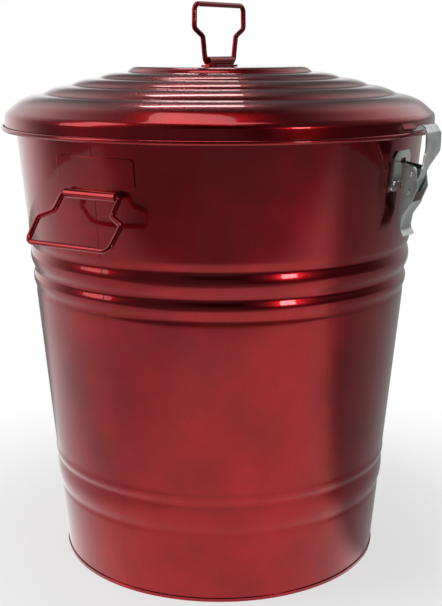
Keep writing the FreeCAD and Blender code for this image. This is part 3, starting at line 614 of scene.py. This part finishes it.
@dataclass
class CanBody:
    """The beaded wall with its rolled rim and seam, and the floor pan with its hem."""

    wall: Wall
    foot: float = 0.75
    floor_height: float = 5.7
    hem_height: float = 2.6
    fit: float = 0.05
    steps: int = 192
    seam_line: float = 0.9
    seam_depth: float = 0.5
    weld: float = 0.02
    plain_by_beads: float = 3.0
    plain_by_rim: float = 6.0
    softening: int = 3
    curl_turn: float = 240.0
    curl_steps: int = 18
    lower: float = 53.3
    lower_steps: int = 6
    lower_beads: tuple[Point, ...] = ((6.0, -0.5), (18.0, 1.1), (4.3, -0.35), (6.7, 0.6))
    upper: float = 217.3
    upper_steps: int = 14
    upper_beads: tuple[Point, ...] = ((6.1, -0.5), (8.6, 0.9), (7.4, -1.2), (11.7, 1.1), (7.9, -1.1))

    def profile(self) -> list[Point]:
        """The middle of the wall's sheet, from the foot up and round the rim's curl.

        Returns:
            Radius and height of each point, in mm.
        """
        half = self.wall.sheet / 2
        line = [(self.wall.at(self.foot) - half, self.foot)]

        def climb(height: float, steps: int) -> None:
            line.extend(run_points(line[-1], (self.wall.at(height) - half, height), steps))

        for start, beads, before in ((self.lower, self.lower_beads, self.lower_steps),
                                     (self.upper, self.upper_beads, self.upper_steps)):
            climb(start - self.plain_by_beads, before)
            climb(start, 3)
            height = start
            for width, relief in beads:
                height += width
                depth = abs(relief)
                radius = (width ** 2 / 4 + depth ** 2) / (2 * depth)
                end = (self.wall.at(height) - half, height)
                line.extend(arc_points(line[-1], end, radius, 1 if relief > 0 else -1, 8))
            climb(height + self.plain_by_beads, 3)
        climb(self.wall.rim_height - self.plain_by_rim, 8)
        line = soften(line, self.softening)
        climb(self.wall.rim_height, 3)
        curl = self.wall.rim_wire + half
        for step in range(1, self.curl_steps + 1):
            angle = math.radians(180 - step * self.curl_turn / self.curl_steps)
            line.append((self.wall.rim_radius + curl * math.cos(angle),
                         self.wall.rim_height + curl * math.sin(angle)))
        return line

    def build_wall(self) -> Object:
        """Spins the wall, leaving a shallow line at -X where the sheet's ends are locked together.

        Returns:
            The wall's shell.
        """
        piece = trace("can_wall", [Vector((-r * MM, 0, z * MM)) for r, z in self.profile()])
        middle = self.wall.at(self.wall.rim_height / 2)
        turn = self.seam_line / middle
        bpy.ops.mesh.select_all(action="SELECT")
        bpy.ops.mesh.spin(steps=self.steps, angle=2 * math.pi - turn, center=(0, 0, 0), axis=(0, 0, 1))
        bpy.ops.mesh.spin(steps=1, angle=turn / 2, center=(0, 0, 0), axis=(0, 0, 1))
        shrink = 1 - self.seam_depth / middle
        bpy.ops.transform.resize(value=(shrink, shrink, 1), center_override=(0, 0, 0))
        bpy.ops.mesh.spin(steps=1, angle=turn / 2, center=(0, 0, 0), axis=(0, 0, 1))
        bpy.ops.transform.resize(value=(1 / shrink, 1 / shrink, 1), center_override=(0, 0, 0))
        bpy.ops.mesh.select_all(action="SELECT")
        bpy.ops.mesh.remove_doubles(threshold=self.weld * MM)
        bpy.ops.mesh.normals_make_consistent(inside=False)
        apply_modifier(piece, "SOLIDIFY", thickness=self.wall.sheet * MM, offset=0.0, use_even_offset=True)
        smooth(piece)
        return piece

    def build_bottom(self) -> Object:
        """Spins the floor pan with the hem that is folded up round the wall's foot.

        Returns:
            The pan.
        """
        half = self.wall.sheet / 2
        inner = self.wall.sheet + self.fit + half
        outer = self.fit + half
        floor = self.floor_height - half
        corners = [(0.0, floor), (self.wall.at(floor) - inner, floor), (self.wall.at(0) - inner, half),
                   (self.wall.at(0) + outer, half), (self.wall.at(self.hem_height) + outer, self.hem_height)]
        line = [corners[0]]
        for corner in corners[1:]:
            line.extend(run_points(line[-1], corner, 6))
        return spin_sheet("can_floor_and_hem", line, self.wall.sheet, self.steps)

    def build(self, red: Material) -> None:
        """Builds and dresses the wall and the floor.

        Args:
            red: the lacquer.
        """
        dress(self.build_wall(), red, "can", ("can_shell",))
        dress(self.build_bottom(), red, "can", ("can_bottom",))


@dataclass
class Lid:
    """The ribbed lid with its skirt and curled lip, its bracket and its wire handle."""

    wall: Wall
    sheet: float = 0.6
    shoulder: float = 4.6
    skirt_depth: float = 8.4
    lip: float = 1.1
    slope: float = 41.0
    eave_width: float = 8.1
    ribs: int = 4
    pitch: float = 21.5
    rib_radius: float = 40.0
    riser: Point = (0.9, 1.3)
    dome: float = 423.0
    disc_edge: float = 7.0
    disc_rise: float = 3.4
    steps: int = 192
    softening: int = 3
    shoulder_steps: int = 8
    lip_turn: float = 270.0
    lip_steps: int = 16
    barrel_half: float = 17.0
    barrel_height: float = 393.070
    wire: float = 2.0
    wire_end: float = 4.0
    handle_corners: tuple[Point, ...] = ((23.0, 18.6), (34.3, 24.6), (33.8, 42.1))

    def profile(self) -> list[Point]:
        """The middle of the lid's sheet, from the disc out, down the skirt and round the lip.

        Returns:
            Radius and height of each point, in mm.
        """
        half = self.sheet / 2
        rim, top = self.wall.rim_radius, self.wall.rim_height
        slope = math.radians(self.slope)
        eave = (rim + self.shoulder * math.sin(slope), top + self.shoulder * math.cos(slope) - half)
        outer = (eave[0] - self.eave_width, eave[1] + self.eave_width * math.tan(slope))

        def dome(radius: float) -> float:
            return outer[1] + (outer[0] ** 2 - radius ** 2) / (2 * self.dome)

        valleys = [outer[0] - (self.ribs - step) * self.pitch for step in range(self.ribs + 1)]
        disc = (valleys[0] - self.disc_edge, dome(valleys[0]) + self.disc_rise)
        line = [(0.0, disc[1])]
        line.extend(run_points(line[-1], disc, 8))
        edge = (self.disc_edge ** 2 + self.disc_rise ** 2) / (2 * self.disc_rise)
        line.extend(arc_points(line[-1], (valleys[0], dome(valleys[0])), edge, -1, 12))
        for valley in valleys[1:]:
            foot = (line[-1][0] + self.riser[0], line[-1][1] - self.riser[1])
            line.append(foot)
            line.extend(arc_points(foot, (valley, dome(valley)), self.rib_radius, -1, 20))
        line.extend(run_points(line[-1], eave, 6))
        line = soften(line, self.softening)
        mid = self.shoulder - half
        for step in range(1, self.shoulder_steps + 1):
            angle = math.radians(90 - self.slope) * (1 - step / self.shoulder_steps)
            line.append((rim + mid * math.cos(angle), top + mid * math.sin(angle)))
        line.extend(run_points(line[-1], (rim + mid, top - self.skirt_depth), 5))
        curl = self.lip + half
        centre = (rim + mid + curl, top - self.skirt_depth)
        for step in range(1, self.lip_steps + 1):
            angle = math.radians(180 + step * self.lip_turn / self.lip_steps)
            line.append((centre[0] + curl * math.cos(angle), centre[1] + curl * math.sin(angle)))
        return line

    def build_handle(self) -> Object:
        """Bends the lid's upright wire handle.

        Returns:
            The wire.
        """
        straight = [(self.wire_end, 0.0), (self.barrel_half + BARREL_TO_BEND, 0.0)]
        line = mirrored([*straight, *self.handle_corners])
        corners = [Vector((x * MM, 0, (self.barrel_height + z) * MM)) for x, z in line]
        return bend_wire("lid_handle_wire", corners, HANDLE_BENDS + HANDLE_BENDS[::-1], self.wire)

    def build(self, red: Material) -> None:
        """Builds and dresses the lid and its handle.

        Args:
            red: the lacquer.
        """
        shell = spin_sheet("lid_pressing", self.profile(), self.sheet, self.steps)
        dress(shell, red, "lid", ("lid_shell",))
        dress(self.build_handle(), red, "lid_handle", ("lid_bail",))
        refinish("lid_bracket", red)


@dataclass
class SideHandle:
    """A wire handle in its rolled barrel, hanging a little out from the wall."""

    wall: Wall
    side: Side
    barrel_half: float = 22.25
    drop: float = 46.6
    standoff: float = 3.41
    swing: float = 40.0
    wire: float = 2.0
    wire_end: float = 9.25
    handle_corners: tuple[Point, ...] = ((25.2, 14.5), (36.5, 20.7), (35.5, 41.0))

    def build(self, red: Material) -> None:
        """Builds and dresses the wire, and refinishes the bracket.

        Args:
            red: the lacquer.
        """
        height = self.wall.rim_height - self.drop
        out = self.wall.at(height) + self.standoff
        straight = [(self.wire_end, 0.0), (self.barrel_half + BARREL_TO_BEND, 0.0)]
        line = mirrored([*straight, *self.handle_corners])
        swing = math.radians(self.swing)
        corners = [Vector((self.side.sign * (out + d * math.sin(swing)) * MM, y * MM,
                           (height - d * math.cos(swing)) * MM)) for y, d in line]
        name = f"side_handle_wire_{self.side.word}"
        wire = bend_wire(name, corners, HANDLE_BENDS + HANDLE_BENDS[::-1], self.wire)
        dress(wire, red, f"{self.side.word}_handle", (f"side_bail_{self.side.word}",))
        refinish(f"side_bracket_{self.side.word}", red)


@dataclass
class ToggleLatch:
    """A zinc plated toggle latch: riveted base, lever and claw."""

    side: Side
    parts: tuple[str, ...] = (
        "latch_base", "base_rivets", "lever_pin", "latch_lever", "claw_pin", "latch_claw")

    def build(self, zinc: Material) -> None:
        """Refinishes the latch's parts.

        Args:
            zinc: the plate.
        """
        for part in self.parts:
            refinish(f"{part}_{self.side.word}", zinc)


# ---------------------------------------------------------------- the studio


@dataclass(frozen=True)
class Lamp:
    """A soft rectangular lamp that looks at the can.

    Its azimuth is in degrees to the right of the camera, its elevation in degrees above the floor, its
    distance, width and height in metres, and its power in watts.
    """

    name: str
    azimuth: float
    elevation: float
    distance: float
    size: Span
    power: float


@dataclass
class Studio:
    """A pale floor that fades into white, soft lamps, a dark room in front, and the camera.

    Each fade holds the values at which a change starts and ends, and the levels before and after it.
    """

    azimuth: float = -56.5
    distance: float = 0.876
    height: float = 0.4046
    pitch: float = 13.19
    sideways: float = 0.0011
    focal_px: float = 1098.1
    picture_height_px: float = 606.0
    sensor_mm: float = 36.0
    nearest: float = 0.01
    aim_height: float = 0.22
    floor_radius: float = 1.6
    paper: str = "f4f4f4"
    floor_to_white: Fade = ((0.15, 0.42), (0.66, 1.0))
    # These four set the painted glow that the floor shows in reflections: dimmer towards the camera, round
    # the back right and far to the left.
    floor_ahead: Fade = ((0.5, 0.8), (1.0, 0.28))
    floor_bright_azimuth: float = -35.0
    floor_round: Fade = ((-0.3, 0.0), (0.3, 1.0))
    floor_left: Fade = ((-0.3, -0.12), (0.75, 1.0))
    room_height: Fade = ((0.08, 0.3), (0.0, 1.0))
    room_low: Fade = ((0.0, 0.35), (1.0, 0.35))
    room_high: Fade = ((0.15, 0.5), (0.1, 0.9))
    room_behind: Fade = ((0.1, 0.75), (0.16, 1.0))
    lamps: tuple[Lamp, ...] = (
        Lamp("overhead_softbox", -30, 80, 1.6, (1.0, 0.6), 5.0),
        Lamp("rear_strip", 187, 52, 1.5, (0.42, 0.14), 1.4),
        Lamp("key_lamp", 39, 14, 1.6, (0.25, 0.25), 3.0),
        Lamp("left_softbox", -75, 30, 1.6, (0.6, 1.4), 7.0),
    )

    def direction(self, azimuth: float, elevation: float) -> Vector:
        """The unit direction towards a place.

        Args:
            azimuth: degrees to the right of the camera, seen from the camera.
            elevation: degrees above the floor.

        Returns:
            The direction, from the can.
        """
        a, e = math.radians(self.azimuth + azimuth), math.radians(elevation)
        return Vector((math.sin(a) * math.cos(e), -math.cos(a) * math.cos(e), math.sin(e)))

    def place_camera(self) -> None:
        """Sets the camera at the photograph's angle."""
        data = bpy.data.cameras.new("camera")
        camera = bpy.data.objects.new("camera", data)
        bpy.context.scene.collection.objects.link(camera)
        a = math.radians(self.azimuth)
        right = Vector((math.cos(a), math.sin(a), 0))
        spot = self.direction(0, 0) * self.distance + right * self.sideways
        camera.location = (spot.x, spot.y, self.height)
        camera.rotation_euler = (math.radians(90 - self.pitch), 0, a)
        data.sensor_width = self.sensor_mm
        data.lens = data.sensor_width * self.focal_px / self.picture_height_px
        data.clip_start = self.nearest
        bpy.context.scene.camera = camera

    def lay_floor(self) -> None:
        """Lays the floor: pale, with the can's shadow, and fading into the white round it. In reflections it
        is a painted glow instead of lit paper: full white near the can on its front left half, dimming to
        0.3 round the back right, to 0.75 far to the left and to 0.28 beyond half a metre towards the camera.
        """
        deselect()
        bpy.ops.mesh.primitive_circle_add(vertices=96, radius=self.floor_radius, fill_type="NGON",
                                          location=(0, 0, 0))
        floor = bpy.context.object
        floor.name = "floor"
        material = new_material("white_paper_sweep")
        tree = material.node_tree
        place = add_node(tree, "ShaderNodeTexCoord").outputs["Object"]
        reach = add_node(tree, "ShaderNodeVectorMath", {0: place}, operation="LENGTH").outputs["Value"]
        paper = add_node(tree, "ShaderNodeBsdfDiffuse", {"Color": linear(self.paper)})
        white = add_node(tree, "ShaderNodeEmission", {"Color": (1, 1, 1, 1), "Strength": 1.0})
        path = add_node(tree, "ShaderNodeLightPath")
        seen = add_node(tree, "ShaderNodeMixShader", {
            0: times(tree, fade(tree, reach, *self.floor_to_white), path.outputs["Is Camera Ray"]),
            1: paper.outputs["BSDF"], 2: white.outputs["Emission"]})
        right = dot(tree, place, self.direction(90, 0))
        ahead = dot(tree, place, self.direction(0, 0))
        way = add_node(tree, "ShaderNodeVectorMath", {0: place}, operation="NORMALIZE").outputs["Vector"]
        turned = dot(tree, way, self.direction(self.floor_bright_azimuth, 0))
        sides = times(tree, fade(tree, turned, *self.floor_round), fade(tree, right, *self.floor_left))
        level = times(tree, fade(tree, ahead, *self.floor_ahead), sides)
        # painted floor glow, seen only by glossy rays: a white emission whose level is set by place,
        # standing in for the lit paper
        painted_floor_glow = add_node(tree, "ShaderNodeEmission", {"Color": (1, 1, 1, 1), "Strength": level})
        mix = add_node(tree, "ShaderNodeMixShader", {
            0: path.outputs["Is Glossy Ray"], 1: seen.outputs["Shader"], 2: painted_floor_glow.outputs["Emission"]})
        add_node(tree, "ShaderNodeOutputMaterial", {"Surface": mix.outputs["Shader"]})
        floor.data.materials.append(material)

    def light_room(self) -> None:
        """Lights the world: white for the camera and behind the can, dark in front of it."""
        world = bpy.data.worlds.new("studio")
        bpy.context.scene.world = world
        world.use_nodes = True
        tree = world.node_tree
        tree.nodes.clear()
        place = add_node(tree, "ShaderNodeTexCoord").outputs["Generated"]
        across = dot(tree, place, self.direction(90, 0))
        aside = add_node(tree, "ShaderNodeMath", {0: across}, operation="ABSOLUTE").outputs["Value"]
        up = add_node(tree, "ShaderNodeSeparateXYZ", {"Vector": place}).outputs["Z"]
        height = add_node(tree, "ShaderNodeMix", {
            "Factor": fade(tree, up, *self.room_height),
            "A": fade(tree, across, *self.room_low),
            "B": fade(tree, aside, *self.room_high)}, data_type="FLOAT").outputs["Result"]
        behind = dot(tree, place, self.direction(180, 0))
        room = times(tree, height, fade(tree, behind, *self.room_behind))
        path = add_node(tree, "ShaderNodeLightPath")
        level = add_node(tree, "ShaderNodeMix", {
            "Factor": path.outputs["Is Camera Ray"], "A": room, "B": 1.0}, data_type="FLOAT")
        sky = add_node(tree, "ShaderNodeBackground", {
            "Color": (1, 1, 1, 1), "Strength": level.outputs["Result"]})
        add_node(tree, "ShaderNodeOutputWorld", {"Surface": sky.outputs["Background"]})

    def hang_lamp(self, lamp: Lamp) -> None:
        """Hangs a lamp.

        Args:
            lamp: its place, size and power.
        """
        data = bpy.data.lights.new(lamp.name, "AREA")
        data.shape = "RECTANGLE"
        data.size, data.size_y = lamp.size
        data.energy = lamp.power
        light = bpy.data.objects.new(lamp.name, data)
        bpy.context.scene.collection.objects.link(light)
        middle = Vector((0, 0, self.aim_height))
        light.location = middle + self.direction(lamp.azimuth, lamp.elevation) * lamp.distance
        light.rotation_euler = (middle - light.location).to_track_quat("-Z", "Y").to_euler()

    def build(self) -> None:
        """Builds the whole studio."""
        self.place_camera()
        self.lay_floor()
        self.light_room()
        for lamp in self.lamps:
            self.hang_lamp(lamp)
        bpy.context.scene.view_settings.view_transform = "Standard"


def main() -> None:
    """Builds the studio, then the can, its lid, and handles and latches."""
    logging.basicConfig(level=logging.INFO, format="%(name)s: %(message)s")
    red = CandyLacquer().build()
    zinc = ZincPlate().build()
    grey = Galvanized().build()
    wall = Wall()
    Studio().build()
    CanBody(wall).build(red)
    Lid(wall).build(red)
    for side in (Side.LEFT, Side.RIGHT):
        SideHandle(wall, side).build(red)
    for side in (Side.FRONT, Side.REAR):
        ToggleLatch(side).build(zinc)
    refinish("rim_wire", grey)


if __name__ == "__main__":
    main()
